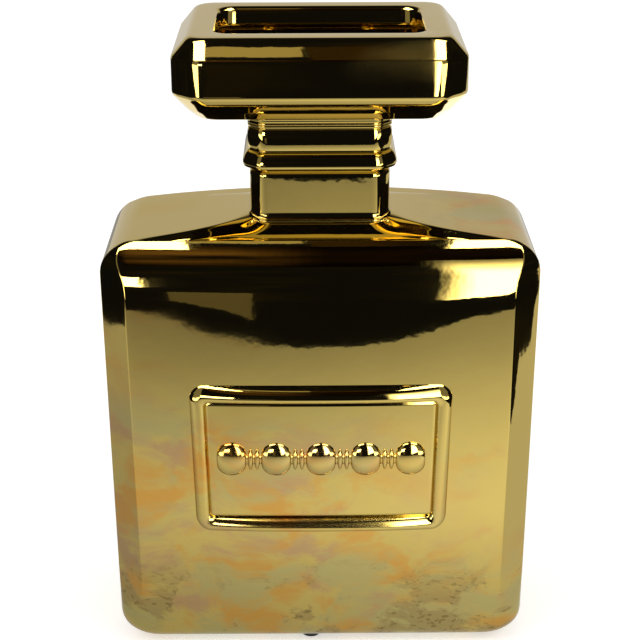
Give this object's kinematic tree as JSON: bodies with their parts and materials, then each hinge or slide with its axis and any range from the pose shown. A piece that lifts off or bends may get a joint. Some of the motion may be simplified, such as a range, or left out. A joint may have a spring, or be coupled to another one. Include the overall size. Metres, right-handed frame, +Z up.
{
  "type": "bottle vase",
  "caption": "Flat bevelled flask vase in gold lustre ceramic with a beaded neck and a stopper-shaped hollow head whose flat top holds a rectangular mouth.",
  "frame": {"origin": "on the table under the middle of the flask, at the height of the pads' undersides", "axes": "+Z up out of the mouth, -Y towards the label on the front, +X to the right as seen from the front"},
  "size_m": [0.1676, 0.0797, 0.25],
  "materials": {
    "gold_lustre_glaze": "mirror gold lustre over a clear glaze, with cloudy iridescent staining towards the base",
    "joint_slip": "the same gold lustre over the sponged joint",
    "pad_rubber": "matt black rubber"
  },
  "bodies": {
    "root": {"body_casting": "gold_lustre_glaze", "neck_casting": "gold_lustre_glaze", "head_casting": "gold_lustre_glaze", "lower_slip_joint": "joint_slip", "upper_slip_joint": "joint_slip", "label_plaque": "gold_lustre_glaze", "label_ornament": "gold_lustre_glaze", "foot_pad_front": "pad_rubber", "foot_pad_rear_left": "pad_rubber", "foot_pad_rear_right": "pad_rubber"}
  },
  "joints": []
}
